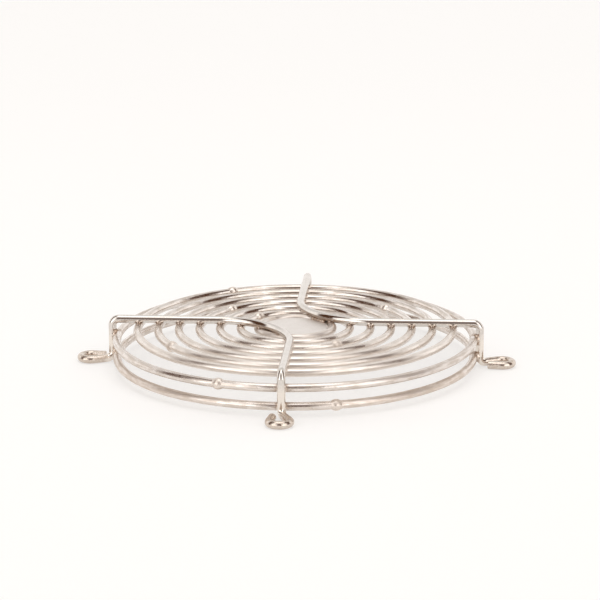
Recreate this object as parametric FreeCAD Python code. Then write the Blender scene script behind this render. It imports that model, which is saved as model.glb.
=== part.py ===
import FreeCAD, Part
import math
import os

os.makedirs("parts", exist_ok=True)

V = FreeCAD.Vector
UP = V(0, 0, 1)
ORIGIN = V(0, 0, 0)

# Wire fan guard. Millimetres, +Z up. The origin is the centre of the fan, on the face
# that the four eyes are screwed to, and the support arms run along X and Y.

# Wire, the same for every ring and both supports
wire_d = 3.175
wire_r = wire_d / 2
wire_bend_r = 2.5

# Eyes for the four screws
eye_pcd = 162.0
eye_hole_d = 4.5
eye_reach = 8.8
eye_lean = 8.0
eye_tail = 5.0
cut_edge_r = 0.2

# Welds: how far one wire is pressed into the other, and the melt squeezed out between
leg_weld_set = 0.8
arm_weld_set = 0.38
arm_melt_r = 1.35
leg_melt_r = 2.15
disc_melt_r = 0.95
disc_melt_inset = 0.45
disc_melt_level = 0.15
disc_melt_step = 7.0
disc_melt_beads = 5

# Levels, as clear gaps between the wires from the mounting face up
floor_gap = 2.5
cage_gap = 3.9
grille_rise = 3.4

# Centre disc, and the clear gap from its rim to the smallest ring
disc_d = 25.4
disc_t = 1.0
disc_edge_r = 0.25
disc_gap = 0.45
rim_gap = 0.31

# Flat rings of the grille: one round the disc, then six spread evenly to the outer rings
hub_ring_step = 6.85
pitched_rings = 6

# Butt joints, where each ring's ends were welded, in degrees round the guard
lower_joint = -73.5
upper_joint = -109.9
ring_joints = [136.5, 137.2, -54.2, 137.4, 41.2, -147.2, 118.9]
joint_bead_height = 0.62
hub_bead_height = 0.2
joint_bead_length = 4.4
joint_bead_foot = 0.3

# Plan bend between the two arms of a support: it passes just outside the disc's rim
arms_apart = 90.0
bend_outside_rim = 0.14

# Sizes that follow
eye_ring_r = eye_pcd / 2
eye_wire_r = (eye_hole_d + wire_d) / 2
leg_r = eye_ring_r - eye_reach
outer_ring_r = leg_r - wire_d + leg_weld_set
lower_ring_z = floor_gap + wire_r
upper_ring_z = lower_ring_z + wire_d + cage_gap
grille_z = upper_ring_z + grille_rise
hub_ring_r = disc_d / 2 + rim_gap + wire_r
first_pitch_r = hub_ring_r + hub_ring_step
ring_pitch = (outer_ring_r - first_pitch_r) / pitched_rings
ring_radii = [hub_ring_r] + [first_pitch_r + i * ring_pitch for i in range(pitched_rings)]
centre_bend_r = (disc_d / 2 + bend_outside_rim) / (math.sqrt(2) - 1)
arm_z = grille_z + wire_d - arm_weld_set
disc_top = arm_z - wire_r - disc_gap
eye_z = wire_r


def wire_section(point, heading):
    """The wire's round section at a point, square to its heading."""
    edge = Part.makeCircle(wire_r, point, heading)
    return Part.Face(Part.Wire([edge]))


def straight(point, heading, length):
    """A straight run of wire, and where it ends."""
    rod = Part.makeCylinder(wire_r, length, point, heading)
    return rod, point + heading * length, heading


def bend(point, heading, turn_axis, radius, angle):
    """A bend of the wire about a turn axis, in degrees, and where it ends."""
    centre = point + turn_axis.cross(heading) * radius
    arc = wire_section(point, heading).revolve(centre, turn_axis, angle)
    spin = FreeCAD.Rotation(turn_axis, angle)
    return arc, centre + spin.multVec(point - centre), spin.multVec(heading)


def joint_bead(radius, z, angle, height):
    """The low collar that flash welding leaves round the wire where a ring closes."""
    foot = wire_r - joint_bead_foot
    half = joint_bead_length / 2
    crest = wire_r + height
    edges = [
        Part.makeLine(V(-half, 0, 0), V(-half, foot, 0)),
        Part.Arc(V(-half, foot, 0), V(0, crest, 0), V(half, foot, 0)).toShape(),
        Part.makeLine(V(half, foot, 0), V(half, 0, 0)),
        Part.makeLine(V(half, 0, 0), V(-half, 0, 0)),
    ]
    bead = Part.Face(Part.Wire(edges)).revolve(ORIGIN, V(1, 0, 0), 360)
    bead.rotate(ORIGIN, UP, 90)
    bead.translate(V(radius, 0, z))
    bead.rotate(ORIGIN, UP, angle)
    return bead


def ring(radius, z, joint_angle, bead_height=joint_bead_height):
    """One ring of wire, butt welded into a circle."""
    hoop = Part.makeTorus(radius, wire_r, V(0, 0, z), UP)
    hoop.rotate(ORIGIN, UP, joint_angle + 180)
    return hoop.fuse(joint_bead(radius, z, joint_angle, bead_height)).removeSplitter()


def on_centre_bend(angle):
    """The plan point on the centre line of a support's wide bend, at an angle round it."""
    t = math.radians(angle)
    return V(centre_bend_r * (1 - math.cos(t)), centre_bend_r * (1 - math.sin(t)), 0)


def centre_disc():
    """The stamped disc that blanks the fan's hub."""
    disc = Part.makeCylinder(disc_d / 2, disc_t, V(0, 0, disc_top - disc_t))
    rim = [e for e in disc.Edges if isinstance(e.Curve, Part.Circle)]
    return disc.makeFillet(disc_edge_r, rim)


def arm_leg_and_eye():
    """One end of a support, out along +X: arm, corner, leg, foot bend and eye."""
    runs = []
    at = V(centre_bend_r, 0, arm_z)
    heading = V(1, 0, 0)

    arm, at, heading = straight(at, heading, leg_r - wire_bend_r - centre_bend_r)
    runs.append(arm)
    corner, at, heading = bend(at, heading, V(0, 1, 0), wire_bend_r, 90)
    runs.append(corner)
    leg, at, heading = straight(at, heading, at.z - eye_z - wire_bend_r)
    runs.append(leg)

    # The foot turns out along the line that just touches the eye's circle
    side = math.asin(eye_wire_r / eye_reach)
    foot_axis = V(math.sin(side), -math.cos(side), 0)
    foot, at, heading = bend(at, heading, foot_axis, wire_bend_r, 90)
    runs.append(foot)
    to_eye = eye_reach * math.cos(side) - wire_bend_r
    shank, at, heading = straight(at, heading, to_eye)
    runs.append(shank)

    # The eye goes round clockwise from above and stops short of the leg
    loop_angle = math.degrees(side) + 180 + eye_lean
    loop, at, heading = bend(at, heading, UP * -1, eye_wire_r, loop_angle)
    runs.append(loop)
    tail, at, heading = straight(at, heading, eye_tail)
    end = [e for e in tail.Edges if isinstance(e.Curve, Part.Circle)
           and (e.Curve.Center - at).Length < 0.01]
    runs.append(tail.makeFillet(cut_edge_r, end))
    return runs


def centre_bend():
    """The wide bend in plan that joins the arm along +X to the arm along +Y."""
    start = V(centre_bend_r, 0, arm_z)
    arc, at, heading = bend(start, V(-1, 0, 0), UP * -1, centre_bend_r, arms_apart)
    return arc


def arm_crossings():
    """Where a support's centre line passes over the flat rings, as plan points."""
    points = []
    for radius in ring_radii:
        if radius >= centre_bend_r:
            points.append(V(radius, 0, 0))
            points.append(V(0, radius, 0))
            continue
        share = (3 - (radius / centre_bend_r) ** 2) / 2
        spread = math.degrees(math.acos(share / math.sqrt(2)))
        points.append(on_centre_bend(arms_apart / 2 - spread))
        points.append(on_centre_bend(arms_apart / 2 + spread))
    return points


def weld_melt():
    """The metal squeezed out at each weld of a support, before the rings are let in."""
    beads = []
    contact_z = grille_z + wire_r - arm_weld_set / 2
    for point in arm_crossings():
        beads.append(Part.makeSphere(arm_melt_r, point + V(0, 0, contact_z)))
    contact_r = leg_r - wire_r + leg_weld_set / 2
    for z in (lower_ring_z, upper_ring_z):
        beads.append(Part.makeSphere(leg_melt_r, V(contact_r, 0, z)))
        beads.append(Part.makeSphere(leg_melt_r, V(0, contact_r, z)))
    # A row of beads run together between the bend and the disc's rim
    for i in range(disc_melt_beads):
        bead = Part.makeSphere(disc_melt_r, V(disc_d / 2 - disc_melt_inset, 0, disc_top + disc_melt_level))
        bead.rotate(ORIGIN, UP, arms_apart / 2 + (i - (disc_melt_beads - 1) / 2) * disc_melt_step)
        beads.append(bead)
    return beads


def support_wire():
    """One support, arms along +X and +Y, bent from a single length of wire."""
    runs = arm_leg_and_eye()
    for run in arm_leg_and_eye():
        run.rotate(ORIGIN, UP, arms_apart)
        runs.append(run)
    wire = centre_bend().multiFuse(runs + weld_melt())
    return wire.removeSplitter()


pieces = {}
pieces["outer_ring_lower"] = ring(outer_ring_r, lower_ring_z, lower_joint)
pieces["outer_ring_upper"] = ring(outer_ring_r, upper_ring_z, upper_joint)
# The smallest ring's joint is dressed down, clear of the disc's rim
pieces["guard_ring_1"] = ring(hub_ring_r, grille_z, ring_joints[0], hub_bead_height)
for number, radius in enumerate(ring_radii[1:], 2):
    pieces[f"guard_ring_{number}"] = ring(radius, grille_z, ring_joints[number - 1])
pieces["centre_disc"] = centre_disc()

welded_to = list(pieces.values())
for name, turn in (("support_wire_back_right", 0), ("support_wire_front_left", 180)):
    wire = support_wire()
    wire.rotate(ORIGIN, UP, turn)
    # The seats that the welds press into the support
    pieces[name] = wire.cut(welded_to)

for name, shape in pieces.items():
    shape.exportStep(f"parts/{name}.step")
    print(name, shape.isValid(), len(shape.Solids), len(shape.Faces), round(shape.Volume, 2))
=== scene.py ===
import math

import bpy
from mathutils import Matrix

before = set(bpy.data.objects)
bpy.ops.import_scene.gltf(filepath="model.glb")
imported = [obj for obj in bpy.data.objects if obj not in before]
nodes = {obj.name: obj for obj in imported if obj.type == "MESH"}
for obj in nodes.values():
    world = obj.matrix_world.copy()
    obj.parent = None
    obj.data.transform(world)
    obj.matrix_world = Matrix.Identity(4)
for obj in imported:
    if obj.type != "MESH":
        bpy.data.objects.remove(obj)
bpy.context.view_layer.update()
MM = 0.001


# Flat rings
# Seven hoops of drawn steel wire, cut, rolled and flash-butt welded, then welded under the
# arms and plated with nickel and a thin flash of chrome. They keep the satin of drawn wire.
ring_radii = [14.5975, 21.4475, 29.5104, 37.5733, 45.6363, 53.6992, 61.7621]
ring_joints = [136.5, 137.2, -54.2, 137.4, 41.2, -147.2, 118.9]
ring_z = 14.5625
centre_bend = 30.9985
ring_tones = ("#D3C8BE", "#E6DED8")
ring_roughness = (0.13, 0.24)
hub_ring_roughness = (0.30, 0.38)
wire_peel = 0.06
# The painted paler reflection on the front side of the rings: its tone, how much of it covers, and how much
# rougher it is
ring_front_paling = ("#F1E9E1", 0.65, 0.15)
# How far a weld's tint reaches along a ring and then fades, and how strong the cool ones are
ring_weld = (0.9, 1.3, 0.35)
# The tint lies on the upper side of a ring, and comes in between these levels
ring_tint_z = (ring_z - 0.4, ring_z + 0.9)
# Where the painted paler reflection fades in, from the back of the guard to the front
front_fade_y = (15.0, -35.0)

# Marks in the plate, in millimetres. Real draw lines and pits are about 0.1 mm wide and wouldn't
# show, so the streaks and the grain are drawn as coarse as they need to be. Along the wire the
# streaks change streak_along times as fast as across it.
cloud_size = 5.0
grain_size = 0.7
streak_size = 0.8
peel_size = 2.2
streak_along = 0.12
# A ring's butt joint is rougher, and its paler tone is a painted highlight on the bead
joint_highlight_tone, joint_rougher = "#E6DBD1", 0.16
joint_reach = (2.1, 2.9)
# The scorch browns of the welds, also used for the painted shade at the bends and on the disc, how much of
# it covers and how much rougher it is
scorch_and_shade_tones = ("#5F4432", "#C7A88C")
scorch_and_shade_cover, scorch_and_shade_rougher = 0.8, 0.15
pit_depth, streak_depth = 1.8, 0.6
relief = 0.5
# Where the noise of the clouds, the streaks and the scorch's ragged edge is cut, and how far the
# last two go
cloud_cut = (0.35, 0.65)
streak_cut, streak_share = (0.3, 0.7), 0.9
ragged_cut, ragged_share = (0.32, 0.62), (0.45, 1.35)
# How far to each side of the line between two arms the change of heat is spread, in millimetres
heat_blend = 2.0


def linear(hex_colour):
    """An sRGB hex colour as the linear colour that shaders take."""
    parts = [int(hex_colour[i:i + 2], 16) / 255 for i in (1, 3, 5)]
    return tuple(c / 12.92 if c <= 0.04045 else ((c + 0.055) / 1.055) ** 2.4 for c in parts) + (1.0,)


def add_node(tree, kind, links=None, out=0, **settings):
    """Adds a node with its settings, links or sets its inputs, and gives one of its outputs."""
    node = tree.nodes.new(kind)
    for key, value in settings.items():
        setattr(node, key, value)
    for key, value in (links or {}).items():
        if isinstance(value, bpy.types.NodeSocket):
            tree.links.new(value, node.inputs[key])
        else:
            node.inputs[key].default_value = value
    return node.outputs[out]


def near_weld(tree, x, y, weld, reach, fade, cool):
    """1 beside any of the four welds that a ring has, fading to 0 past a reach in millimetres.
    The guard looks the same turned half round or with its arms swapped, so one weld is given.
    Welds on the front and back arms were made less hot, and show as strongly as cool says."""
    total = add_node(tree, "ShaderNodeMath", {0: x, 1: y}, operation="ADD")
    side = add_node(tree, "ShaderNodeMath", {0: total}, operation="SIGN")
    turned_x = add_node(tree, "ShaderNodeMath", {0: x, 1: side}, operation="MULTIPLY")
    turned_y = add_node(tree, "ShaderNodeMath", {0: y, 1: side}, operation="MULTIPLY")
    far = add_node(tree, "ShaderNodeMath", {0: turned_x, 1: turned_y}, operation="MAXIMUM")
    near = add_node(tree, "ShaderNodeMath", {0: turned_x, 1: turned_y}, operation="MINIMUM")
    place = add_node(tree, "ShaderNodeCombineXYZ", {0: far, 1: near})
    centre = (weld[0] * MM, weld[1] * MM, 0.0)
    gap = add_node(tree, "ShaderNodeVectorMath", {0: place, 1: centre}, out=1, operation="DISTANCE")
    close = add_node(tree, "ShaderNodeMapRange",
                     {0: gap, 1: reach * MM, 2: (reach + fade) * MM, 3: 1.0, 4: 0.0},
                     interpolation_type="SMOOTHSTEP")
    aside = add_node(tree, "ShaderNodeMath", {0: turned_x, 1: turned_y}, operation="SUBTRACT")
    mark_strength = add_node(tree, "ShaderNodeMapRange",
                    {0: aside, 1: -heat_blend * MM, 2: heat_blend * MM, 3: cool, 4: 1.0})
    return add_node(tree, "ShaderNodeMath", {0: close, 1: mark_strength}, operation="MULTIPLY")


def weld_place(radius):
    """Where the support on the right crosses a ring, as plan x and y in millimetres."""
    if radius >= centre_bend:
        return radius, 0.0
    share = (3 - (radius / centre_bend) ** 2) / 2
    t = math.radians(45) + math.acos(share / math.sqrt(2))
    return centre_bend * (1 - math.cos(t)), centre_bend * (1 - math.sin(t))


def round_ring(tree, x, y, z):
    """Place by how far out, round and up it is, so that marks are drawn out along a ring."""
    plan = add_node(tree, "ShaderNodeCombineXYZ", {0: x, 1: y})
    out = add_node(tree, "ShaderNodeVectorMath", {0: plan}, out=1, operation="LENGTH")
    turn = add_node(tree, "ShaderNodeMath", {0: y, 1: x}, operation="ARCTAN2")
    along = add_node(tree, "ShaderNodeMath", {0: turn, 1: out}, operation="MULTIPLY")
    along = add_node(tree, "ShaderNodeMath", {0: along, 1: streak_along}, operation="MULTIPLY")
    return add_node(tree, "ShaderNodeCombineXYZ", {0: out, 1: along, 2: z})


def plated_wire(name, tones, roughness, burn_and_shade, peel_depth, tone_patch=None, joint=None, lay=None):
    """Nickel-chrome plate on drawn wire, cloudy between two tones and two roughnesses. The function
    given for the marks takes the tree and x, y, z and gives from 0 to 1 how much a weld has tinted
    and pitted the place, and at the bends and on the disc how much painted shade lies there in the
    scorch browns. peel_depth is in millimetres. The patch, if given, is where a second tone lies,
    given as the marks are, the tone and share of it there, and how much rougher it is; on the rings
    it is a painted paler reflection on the front side. joint is the radius, height and angle of a
    ring's butt joint, which is rougher, with a paler tone that is a painted highlight on the bead.
    lay gives the place by which the streaks of drawing run along the wire."""
    material = bpy.data.materials.new(name)
    material.use_nodes = True
    tree = material.node_tree
    shader = tree.nodes["Principled BSDF"]
    place = add_node(tree, "ShaderNodeTexCoord", out="Object")
    x, y, z = add_node(tree, "ShaderNodeSeparateXYZ", {0: place}).node.outputs

    cloud = add_node(tree, "ShaderNodeTexNoise",
                     {"Vector": place, "Scale": 1 / (cloud_size * MM), "Detail": 3.0})
    patch = add_node(tree, "ShaderNodeMapRange", {0: cloud, 1: cloud_cut[0], 2: cloud_cut[1]})
    # Streaks along the lay of the wire, or else fine grain, break up the edges of the clouds
    grain = add_node(tree, "ShaderNodeTexNoise",
                     {"Vector": place, "Scale": 1 / (grain_size * MM), "Detail": 3.0})
    streaks = grain
    if lay:
        streaks = add_node(tree, "ShaderNodeTexNoise",
                           {"Vector": lay(tree, x, y, z), "Scale": 1 / (streak_size * MM), "Detail": 2.0})
    speckle = add_node(tree, "ShaderNodeMapRange",
                       {0: streaks, 1: streak_cut[0], 2: streak_cut[1], 3: -streak_share, 4: streak_share})
    patch = add_node(tree, "ShaderNodeMath", {0: patch, 1: speckle}, operation="ADD", use_clamp=True)
    plate = add_node(tree, "ShaderNodeMix", {0: patch, 6: linear(tones[0]), 7: linear(tones[1])}, out=2,
                     data_type="RGBA")
    dull = add_node(tree, "ShaderNodeMapRange", {0: patch, 3: roughness[1], 4: roughness[0]})
    # A second tone and roughness over part of the wire; on the rings it is a painted paler reflection on the
    # front side
    if tone_patch:
        where, tone, share, rougher = tone_patch
        patched = where(tree, x, y, z)
        dull = add_node(tree, "ShaderNodeMath", {0: patched, 1: rougher, 2: dull}, operation="MULTIPLY_ADD")
        cover = add_node(tree, "ShaderNodeMath", {0: patched, 1: share}, operation="MULTIPLY")
        plate = add_node(tree, "ShaderNodeMix", {0: cover, 6: plate, 7: linear(tone)}, out=2,
                         data_type="RGBA")

    # The butt joint's bead: rougher plate, and a paler tone that is a painted highlight
    if joint:
        radius, height, angle = joint
        turn = math.radians(angle)
        centre = (radius * MM * math.cos(turn), radius * MM * math.sin(turn), height * MM)
        gap = add_node(tree, "ShaderNodeVectorMath", {0: place, 1: centre}, out=1, operation="DISTANCE")
        bead = add_node(tree, "ShaderNodeMapRange",
                        {0: gap, 1: joint_reach[0] * MM, 2: joint_reach[1] * MM, 3: 1.0, 4: 0.0})
        plate = add_node(tree, "ShaderNodeMix", {0: bead, 6: plate, 7: linear(joint_highlight_tone)}, out=2,
                         data_type="RGBA")
        dull = add_node(tree, "ShaderNodeMath", {0: bead, 1: joint_rougher, 2: dull},
                        operation="MULTIPLY_ADD")

    # The grain makes the edge of the scorch and of the painted shade ragged
    mark_strength = burn_and_shade(tree, x, y, z)
    ragged = add_node(tree, "ShaderNodeMapRange",
                      {0: grain, 1: ragged_cut[0], 2: ragged_cut[1], 3: ragged_share[0], 4: ragged_share[1]})
    scorch_and_shade = add_node(tree, "ShaderNodeMath", {0: mark_strength, 1: ragged}, operation="MULTIPLY", use_clamp=True)
    scorch_and_shade_colour = add_node(tree, "ShaderNodeMix",
                     {0: grain, 6: linear(scorch_and_shade_tones[0]), 7: linear(scorch_and_shade_tones[1])}, out=2,
                     data_type="RGBA")
    cover = add_node(tree, "ShaderNodeMath", {0: scorch_and_shade, 1: scorch_and_shade_cover}, operation="MULTIPLY")
    colour = add_node(tree, "ShaderNodeMix", {0: cover, 6: plate, 7: scorch_and_shade_colour}, out=2, data_type="RGBA")
    tree.links.new(colour, shader.inputs["Base Color"])
    shader.inputs["Metallic"].default_value = 1.0
    rough = add_node(tree, "ShaderNodeMath", {0: scorch_and_shade, 1: scorch_and_shade_rougher, 2: dull},
                     operation="MULTIPLY_ADD")
    tree.links.new(rough, shader.inputs["Roughness"])

    # Orange peel of the plating, pits where the scorch and the painted shade lie, and the streaks
    peel = add_node(tree, "ShaderNodeTexNoise",
                    {"Vector": place, "Scale": 1 / (peel_size * MM), "Detail": 2.0})
    pits = add_node(tree, "ShaderNodeMath", {0: scorch_and_shade, 1: grain}, operation="MULTIPLY")
    height = add_node(tree, "ShaderNodeMath", {0: pits, 1: pit_depth, 2: peel}, operation="MULTIPLY_ADD")
    if lay:
        height = add_node(tree, "ShaderNodeMath", {0: streaks, 1: streak_depth, 2: height},
                          operation="MULTIPLY_ADD")
    bump = add_node(tree, "ShaderNodeBump",
                    {"Strength": relief, "Distance": peel_depth * MM, "Height": height})
    tree.links.new(bump, shader.inputs["Normal"])
    return material


def finish(node, material):
    """Gives a piece its material."""
    piece = nodes[node]
    piece.data.materials.clear()
    piece.data.materials.append(material)


def front_fade(tree, x, y, z):
    """The front side of the guard, where a paler reflection is painted, fading in over its middle."""
    return add_node(tree, "ShaderNodeMapRange", {0: y, 1: front_fade_y[0] * MM, 2: front_fade_y[1] * MM})


for number, radius in enumerate(ring_radii, 1):
    def ring_burn(tree, x, y, z):
        """The upper side of the ring beside each weld."""
        beside = near_weld(tree, x, y, weld_place(radius), *ring_weld)
        above = add_node(tree, "ShaderNodeMapRange", {0: z, 1: ring_tint_z[0] * MM, 2: ring_tint_z[1] * MM})
        return add_node(tree, "ShaderNodeMath", {0: beside, 1: above}, operation="MULTIPLY")

    # The smallest ring is duller than the rest, like the disc in it
    roughness = hub_ring_roughness if number == 1 else ring_roughness
    joint = (radius, ring_z, ring_joints[number - 1])
    # Each ring gets a painted paler reflection on the front side of the guard
    satin = plated_wire(f"satin nickel chrome ring {number}", ring_tones, roughness, ring_burn, wire_peel,
                        (front_fade, *ring_front_paling), joint, round_ring)
    finish(f"guard_ring_{number}", satin)


# Outer rings
# Two hoops of the same wire, one above the other, welded to the inside of the legs. They
# stand clear of the panel and keep fingers out from the side.
outer_r = 69.825
outer_rings = {"lower": (4.0875, -73.5), "upper": (11.1625, -109.9)}
# The weld lies out towards the leg, and its tint reaches, fades and cools as the flat rings' does
outer_weld_r = outer_r + 1.0
outer_weld = (1.2, 2.0, 0.9)
# Where the painted paler reflection grows to its full strength, out to either side, and its share before
# that
corner_x = (10.0, 40.0)
middle_share, left_share = 0.15, 0.35


def outer_burn(tree, x, y, z):
    """Round each weld to a leg."""
    return near_weld(tree, x, y, (outer_weld_r, 0.0), *outer_weld)


def front_corners_fade(tree, x, y, z):
    """The front side of the guard, where a paler reflection is painted, but hardly in its middle, beside the
    leg.
    """
    aside = add_node(tree, "ShaderNodeMath", {0: x}, operation="ABSOLUTE")
    corner = add_node(tree, "ShaderNodeMapRange",
                      {0: aside, 1: corner_x[0] * MM, 2: corner_x[1] * MM, 3: middle_share, 4: 1.0})
    return add_node(tree, "ShaderNodeMath", {0: front_fade(tree, x, y, z), 1: corner}, operation="MULTIPLY")


def front_right_fade(tree, x, y, z):
    """The front side of the guard, where a paler reflection is painted, most of all on its right."""
    corner = add_node(tree, "ShaderNodeMapRange",
                      {0: x, 1: corner_x[0] * MM, 2: corner_x[1] * MM, 3: left_share, 4: 1.0})
    return add_node(tree, "ShaderNodeMath", {0: front_fade(tree, x, y, z), 1: corner}, operation="MULTIPLY")


# Where each hoop has a painted paler reflection on the front, the tone and share of it there, and
# how much rougher it is. The lower hoop's is a little browner.
outer_front_paling = {"lower": (front_corners_fade, "#E6D3C1", 0.28, 0.25), "upper": (front_right_fade, "#F1E9E1", 0.1, 0.22)}
for level, (height, angle) in outer_rings.items():
    # Each hoop gets a painted paler reflection on the front side of the guard
    satin = plated_wire(f"satin nickel chrome {level} outer ring", ring_tones, ring_roughness, outer_burn,
                        wire_peel, outer_front_paling[level], (outer_r, height, angle), round_ring)
    finish(f"outer_ring_{level}", satin)


# Support wires
# Two lengths of wire, each bent into an eye, leg, arm, wide bend, arm, leg and eye. Bending
# and the polish before plating leave them brighter than the rings. The welds scorch them below,
# and the lower half of the wide bend also has painted shade of its underside.
arm_z = 17.3575
ring_pitch = 8.0629
leg_r = 72.2
support_tones = ("#D6CFC8", "#DFD9D3")
support_roughness = (0.09, 0.16)
support_peel = 0.05
# The legs are warmer than the arms: the tone, how much of it covers, and how much rougher it is
leg_haze = ("#EFE6DC", 0.8, 0.03)
leg_tint_z = (14.0, 10.0)
# The scorch under an arm: half its length at each ring, and the levels where it fades upwards
mark_half = (1.2, 2.3)
mark_z = (arm_z - 1.3, arm_z - 0.5)
arm_bottom_z = (arm_z - 2.6, arm_z - 2.2)
arm_end_r = (64.5, 65.5)
# The scorch on the inner side of a leg: where it fades outwards, and half its height at a hoop
leg_mark_r = (leg_r - 0.8, leg_r + 0.4)
leg_side_r = (leg_r - 2.7, leg_r - 2.3)
leg_mark_half = 2.3
# The arms to the left and right were welded hotter than the front and back ones
arm_heat_blend, cool_heat = 5.0, 0.5
# The scorch and painted shade along the lower half of the bend: where they fade outwards and upwards, and
# their strength
bend_mark_r = (16.0, 23.0)
bend_mark_z = (arm_z - 0.3, arm_z + 0.6)
bend_scorch_and_shade = 0.9
eye_tint_r, eye_tint = (leg_r + 1.7, leg_r + 3.5), 0.45


def support_scorch_and_shade(tree, x, y, z):
    """The scorch at the welds of a support, the painted shade along the lower half of its bend, and the
    brown tint on its eyes.
    """
    plan = add_node(tree, "ShaderNodeCombineXYZ", {0: x, 1: y})
    out = add_node(tree, "ShaderNodeVectorMath", {0: plan}, out=1, operation="LENGTH")
    # Along each arm, a mark under the wire at every ring
    steps = add_node(tree, "ShaderNodeMath", {0: out, 1: ring_radii[1] * MM}, operation="SUBTRACT")
    steps = add_node(tree, "ShaderNodeMath", {0: steps, 1: ring_pitch * MM}, operation="DIVIDE")
    steps = add_node(tree, "ShaderNodeMath", {0: steps, 1: 0.5}, operation="ADD")
    gap = add_node(tree, "ShaderNodeMath", {0: steps}, operation="FRACT")
    gap = add_node(tree, "ShaderNodeMath", {0: gap, 1: 0.5}, operation="SUBTRACT")
    gap = add_node(tree, "ShaderNodeMath", {0: gap}, operation="ABSOLUTE")
    at_ring = add_node(tree, "ShaderNodeMapRange",
                       {0: gap, 1: mark_half[0] / ring_pitch, 2: mark_half[1] / ring_pitch, 3: 1.0, 4: 0.0})
    under = add_node(tree, "ShaderNodeMapRange",
                     {0: z, 1: mark_z[0] * MM, 2: mark_z[1] * MM, 3: 1.0, 4: 0.0})
    on_arm = add_node(tree, "ShaderNodeMapRange", {0: z, 1: arm_bottom_z[0] * MM, 2: arm_bottom_z[1] * MM})
    in_reach = add_node(tree, "ShaderNodeMapRange",
                        {0: out, 1: arm_end_r[0] * MM, 2: arm_end_r[1] * MM, 3: 1.0, 4: 0.0})
    arm = add_node(tree, "ShaderNodeMath", {0: at_ring, 1: under}, operation="MULTIPLY")
    arm = add_node(tree, "ShaderNodeMath", {0: arm, 1: on_arm}, operation="MULTIPLY")
    arm = add_node(tree, "ShaderNodeMath", {0: arm, 1: in_reach}, operation="MULTIPLY")
    # The inner side of each leg, beside the two outer rings
    inside = add_node(tree, "ShaderNodeMapRange",
                      {0: out, 1: leg_mark_r[0] * MM, 2: leg_mark_r[1] * MM, 3: 1.0, 4: 0.0})
    on_leg = add_node(tree, "ShaderNodeMapRange", {0: out, 1: leg_side_r[0] * MM, 2: leg_side_r[1] * MM})
    low, high = (add_node(tree, "ShaderNodeMath", {0: z, 1: height * MM, 2: leg_mark_half * MM},
                          operation="COMPARE") for height, angle in outer_rings.values())
    level = add_node(tree, "ShaderNodeMath", {0: low, 1: high}, operation="MAXIMUM")
    leg = add_node(tree, "ShaderNodeMath", {0: inside, 1: level}, operation="MULTIPLY")
    leg = add_node(tree, "ShaderNodeMath", {0: leg, 1: on_leg}, operation="MULTIPLY")
    both = add_node(tree, "ShaderNodeMath", {0: arm, 1: leg}, operation="MAXIMUM")
    size_x = add_node(tree, "ShaderNodeMath", {0: x}, operation="ABSOLUTE")
    size_y = add_node(tree, "ShaderNodeMath", {0: y}, operation="ABSOLUTE")
    aside = add_node(tree, "ShaderNodeMath", {0: size_x, 1: size_y}, operation="SUBTRACT")
    mark_strength = add_node(tree, "ShaderNodeMapRange",
                    {0: aside, 1: -arm_heat_blend * MM, 2: arm_heat_blend * MM, 3: cool_heat, 4: 1.0})
    both = add_node(tree, "ShaderNodeMath", {0: both, 1: mark_strength}, operation="MULTIPLY")
    # Round the disc the lower half of the bend is marked all along: weld scorch, and painted shade of its
    # underside
    at_disc = add_node(tree, "ShaderNodeMapRange",
                       {0: out, 1: bend_mark_r[0] * MM, 2: bend_mark_r[1] * MM, 3: bend_scorch_and_shade, 4: 0.0})
    lower = add_node(tree, "ShaderNodeMapRange",
                     {0: z, 1: bend_mark_z[0] * MM, 2: bend_mark_z[1] * MM, 3: 1.0, 4: 0.0})
    bend = add_node(tree, "ShaderNodeMath", {0: at_disc, 1: lower}, operation="MULTIPLY")
    # The eyes are tinted in the scorch browns, fading in outwards from the legs
    eye = add_node(tree, "ShaderNodeMapRange",
                   {0: out, 1: eye_tint_r[0] * MM, 2: eye_tint_r[1] * MM, 3: 0.0, 4: eye_tint})
    both = add_node(tree, "ShaderNodeMath", {0: both, 1: bend}, operation="MAXIMUM")
    return add_node(tree, "ShaderNodeMath", {0: both, 1: eye}, operation="MAXIMUM")


def on_legs(tree, x, y, z):
    """The legs and eyes, below the arms."""
    return add_node(tree, "ShaderNodeMapRange", {0: z, 1: leg_tint_z[0] * MM, 2: leg_tint_z[1] * MM})


bright_wire = plated_wire("bright nickel chrome supports", support_tones, support_roughness, support_scorch_and_shade,
                          support_peel, (on_legs, *leg_haze))
for name in ("support_wire_front_left", "support_wire_back_right"):
    finish(name, bright_wire)


# Centre disc
# A disc stamped from thin steel sheet, plated with the wires. It covers the fan's hub, and the
# even grey of its top is the mill's satin under the plate.
disc_tones = ("#ECE7E2", "#F0EBE7")
disc_roughness = (0.50, 0.56)
disc_peel = 0.012
# The painted shadow and reflection of each bend on the disc: how far from the middle it starts
# and is full, half its length and where that ends, and its strength
bend_shadow_r = (11.0, 12.3)
bend_shadow_half = (2.5, 5.5)
bend_shadow_strength = 0.25


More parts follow.
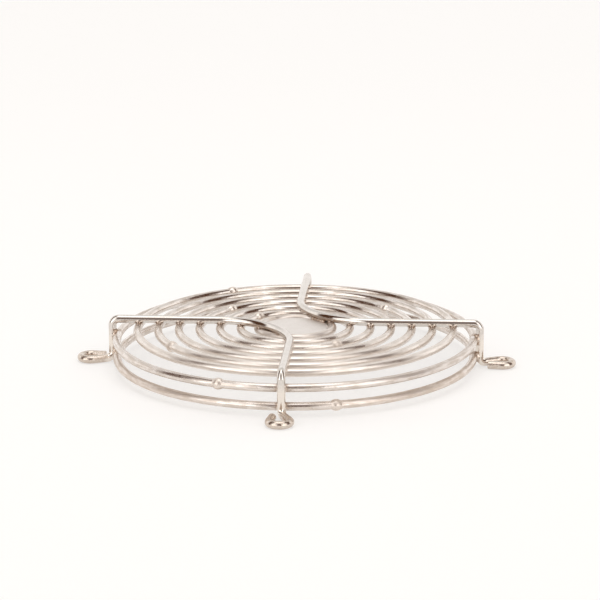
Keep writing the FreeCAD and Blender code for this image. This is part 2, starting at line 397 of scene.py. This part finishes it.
def disc_bend_shadow(tree, x, y, z):
    """A narrow painted shadow and reflection of each bend on the disc, square to the line between the two
    bends.
    """
    across = add_node(tree, "ShaderNodeMath", {0: x, 1: y}, operation="ADD")
    across = add_node(tree, "ShaderNodeMath", {0: across}, operation="ABSOLUTE")
    reach = add_node(tree, "ShaderNodeMapRange",
                     {0: across, 1: bend_shadow_r[0] * math.sqrt(2) * MM, 2: bend_shadow_r[1] * math.sqrt(2) * MM})
    aside = add_node(tree, "ShaderNodeMath", {0: x, 1: y}, operation="SUBTRACT")
    aside = add_node(tree, "ShaderNodeMath", {0: aside}, operation="ABSOLUTE")
    width = add_node(tree, "ShaderNodeMapRange",
                     {0: aside, 1: bend_shadow_half[0] * math.sqrt(2) * MM, 2: bend_shadow_half[1] * math.sqrt(2) * MM,
                      3: bend_shadow_strength, 4: 0.0})
    return add_node(tree, "ShaderNodeMath", {0: reach, 1: width}, operation="MULTIPLY")


# The disc has a painted shadow and reflection of each bend, in the scorch browns
sheet = plated_wire("satin nickel chrome sheet", disc_tones, disc_roughness, disc_bend_shadow, disc_peel)
finish("centre_disc", sheet)


# Floor and studio
# A white table in a white tent with an overhead light. The tent is open towards the camera,
# and the dark of the room there draws the brown bands and thin dark lines along the wire.
table_size, table_z = 8.0, -0.02 * MM
table_tone = "#BEBCB9"
# How much paler than its own shading the table looks to the camera and in the wire
table_glow = 0.52
bpy.ops.object.select_all(action="DESELECT")
bpy.ops.mesh.primitive_plane_add(size=table_size, location=(0, 0, table_z))
floor = bpy.context.object
floor.name = "floor"
# Matt painted board: it takes soft shadows and shows no reflection
paper = bpy.data.materials.new("matt white table")
paper.use_nodes = True
tree = paper.node_tree
shader = tree.nodes["Principled BSDF"]
shader.inputs["Base Color"].default_value = linear(table_tone)
shader.inputs["Roughness"].default_value = 0.9
shader.inputs["Specular IOR Level"].default_value = 0.1
rays = add_node(tree, "ShaderNodeLightPath").node.outputs
seen = add_node(tree, "ShaderNodeMath", {0: rays["Is Glossy Ray"], 1: rays["Is Transmission Ray"]},
                operation="MAXIMUM")
seen = add_node(tree, "ShaderNodeMath", {0: rays["Is Camera Ray"], 1: seen}, operation="MAXIMUM")
lift = add_node(tree, "ShaderNodeMath", {0: seen, 1: table_glow}, operation="MULTIPLY")
lift = add_node(tree, "ShaderNodeEmission", {"Strength": lift})
both = add_node(tree, "ShaderNodeAddShader", {0: shader.outputs[0], 1: lift})
tree.links.new(both, tree.nodes["Material Output"].inputs["Surface"])
floor.data.materials.append(paper)

# The studio seen from the guard, by how far a direction points to the camera, to the side and
# up: a soft box on each side of the camera, a pale ceiling and back wall, and the dark of the
# room between the boxes and in a curved band on each side, where the boxes end
wall_back, wall_back_high = 1.08, 0.74
wall_side = 1.28
wall_box, wall_box_low = 1.6, 2.6
wall_top = 1.12
wall_tone = "#FFFDFB"
room_dark = "#583A28"
# Between which heights the back wall dims, and the boxes dim, and where the ceiling comes in
back_up, box_up, top_up = (0.3, 0.65), (0.05, 0.35), (0.72, 0.9)
# How far round the back wall turns into the side walls, and these into the boxes
side_ahead, box_ahead = (-0.85, -0.2), (0.2, 0.4)
# The bands: where their middle lies ahead, how it leans to the side and curves back with
# height, how they widen, half their width, and where they start to the side
band_ahead, band_lean, band_curve, band_widen = 0.215, -0.04, 0.52, 0.3
band_half = (0.16, 0.31)
band_side = (0.17, 0.38)
# The dark between the boxes: its offset to the left, half its width, and where it ends above
gap_left = 0.04
gap_half = (0.22, 0.44)
gap_top = (0.70, 0.97)
# Its strength falls from full at the level of the guard to this share at this height
gap_thin, gap_thin_up = 0.9, 0.35
world = bpy.data.worlds.new("studio")
bpy.context.scene.world = world
world.use_nodes = True
tree = world.node_tree
background = tree.nodes["Background"]
# The boxes and the room lie square to the line of sight
turn = math.radians(4.12)
direction = add_node(tree, "ShaderNodeTexCoord", out="Generated")
direction = add_node(tree, "ShaderNodeVectorMath", {0: direction}, operation="NORMALIZE")
front = (math.sin(turn), -math.cos(turn), 0.0)
side = (math.cos(turn), math.sin(turn), 0.0)
ahead = add_node(tree, "ShaderNodeVectorMath", {0: direction, 1: front}, out=1, operation="DOT_PRODUCT")
aside = add_node(tree, "ShaderNodeVectorMath", {0: direction, 1: side}, out=1, operation="DOT_PRODUCT")
up = add_node(tree, "ShaderNodeSeparateXYZ", {0: direction}, out=2)

level = add_node(tree, "ShaderNodeMapRange",
                 {0: up, 1: back_up[0], 2: back_up[1], 3: wall_back, 4: wall_back_high},
                 interpolation_type="SMOOTHSTEP")
level = add_node(tree, "ShaderNodeMapRange",
                 {0: ahead, 1: side_ahead[0], 2: side_ahead[1], 3: level, 4: wall_side},
                 interpolation_type="SMOOTHSTEP")
in_front = add_node(tree, "ShaderNodeMapRange", {0: ahead, 1: box_ahead[0], 2: box_ahead[1]},
                    interpolation_type="SMOOTHSTEP")
box = add_node(tree, "ShaderNodeMapRange",
               {0: up, 1: box_up[0], 2: box_up[1], 3: wall_box_low, 4: wall_box})
level = add_node(tree, "ShaderNodeMix", {0: in_front, 2: level, 3: box})
overhead = add_node(tree, "ShaderNodeMapRange", {0: up, 1: top_up[0], 2: top_up[1]},
                    interpolation_type="SMOOTHSTEP")
level = add_node(tree, "ShaderNodeMix", {0: overhead, 2: level, 3: wall_top})

curve = add_node(tree, "ShaderNodeMath", {0: up, 1: up}, operation="MULTIPLY")
widen = add_node(tree, "ShaderNodeMath", {0: curve, 1: band_widen, 2: 1.0}, operation="MULTIPLY_ADD")
curve = add_node(tree, "ShaderNodeMath", {0: curve, 1: band_curve, 2: ahead}, operation="MULTIPLY_ADD")
off_band = add_node(tree, "ShaderNodeMath", {0: curve, 1: band_ahead}, operation="SUBTRACT")
off_band = add_node(tree, "ShaderNodeMath", {0: aside, 1: band_lean, 2: off_band},
                    operation="MULTIPLY_ADD")
off_band = add_node(tree, "ShaderNodeMath", {0: off_band, 1: widen}, operation="DIVIDE")
off_band = add_node(tree, "ShaderNodeMath", {0: off_band}, operation="ABSOLUTE")
band = add_node(tree, "ShaderNodeMapRange",
                {0: off_band, 1: band_half[0], 2: band_half[1], 3: 1.0, 4: 0.0},
                interpolation_type="SMOOTHSTEP")
sideways = add_node(tree, "ShaderNodeMath", {0: aside}, operation="ABSOLUTE")
sideways = add_node(tree, "ShaderNodeMapRange", {0: sideways, 1: band_side[0], 2: band_side[1]},
                    interpolation_type="SMOOTHSTEP")
band = add_node(tree, "ShaderNodeMath", {0: band, 1: sideways}, operation="MULTIPLY")

off_gap = add_node(tree, "ShaderNodeMath", {0: aside, 1: gap_left}, operation="ADD")
off_gap = add_node(tree, "ShaderNodeMath", {0: off_gap}, operation="ABSOLUTE")
gap = add_node(tree, "ShaderNodeMapRange", {0: off_gap, 1: gap_half[0], 2: gap_half[1], 3: 1.0, 4: 0.0},
               interpolation_type="SMOOTHSTEP")
low = add_node(tree, "ShaderNodeMapRange", {0: up, 1: gap_top[0], 2: gap_top[1], 3: 1.0, 4: 0.0},
               interpolation_type="SMOOTHSTEP")
thin = add_node(tree, "ShaderNodeMapRange", {0: up, 1: 0.0, 2: gap_thin_up, 3: 1.0, 4: gap_thin})
gap = add_node(tree, "ShaderNodeMath", {0: gap, 1: low}, operation="MULTIPLY")
gap = add_node(tree, "ShaderNodeMath", {0: gap, 1: thin}, operation="MULTIPLY")
gap = add_node(tree, "ShaderNodeMath", {0: gap, 1: in_front}, operation="MULTIPLY")
shade = add_node(tree, "ShaderNodeMath", {0: band, 1: gap}, operation="MAXIMUM")

wall = add_node(tree, "ShaderNodeVectorMath", {0: linear(wall_tone)[:3], 3: level}, operation="SCALE")
surround = add_node(tree, "ShaderNodeMix", {0: shade, 6: wall, 7: linear(room_dark)}, out=2,
                    data_type="RGBA")
tree.links.new(surround, background.inputs["Color"])
background.inputs["Strength"].default_value = 1.0

bpy.ops.object.light_add(type="AREA", location=(0.0, -0.08, 0.80))
lamp = bpy.context.object
lamp.name = "overhead softbox"
lamp.rotation_euler = (math.radians(6), 0, 0)
lamp.data.shape = "RECTANGLE"
lamp.data.size = 0.6
lamp.data.size_y = 0.5
lamp.data.energy = 0.85
lamp.data.color = (1.0, 0.99, 0.975)


# Camera
# A long lens just above the table, a little to the right of the front arm, so that the rings
# close up into one another.
azimuth, elevation, roll = 4.118, 14.924, -0.321
distance = 1016.6 * MM
aim_right, aim_up = 1.908 * MM, 25.90 * MM
film_width = 36.0
# The fitted focal length in pixels, over the photo's width in pixels
focal = 2600 / 600
bpy.ops.object.camera_add()
camera = bpy.context.object
camera.name = "camera"
a, e = math.radians(azimuth), math.radians(elevation)
right = (math.cos(a), math.sin(a), 0.0)
back = (math.sin(a) * math.cos(e), -math.cos(a) * math.cos(e), math.sin(e))
camera.location = [right[i] * aim_right + back[i] * distance + (0, 0, aim_up)[i] for i in range(3)]
camera.rotation_mode = "XYZ"
camera.rotation_euler = (math.radians(90) - e, 0.0, a)
camera.rotation_euler.rotate_axis("Z", math.radians(roll))
camera.data.sensor_width = film_width
camera.data.sensor_fit = "HORIZONTAL"
camera.data.lens = film_width * focal
camera.data.clip_start = 0.05
camera.data.clip_end = 20.0
bpy.context.scene.camera = camera

bpy.context.scene.view_settings.view_transform = "Standard"
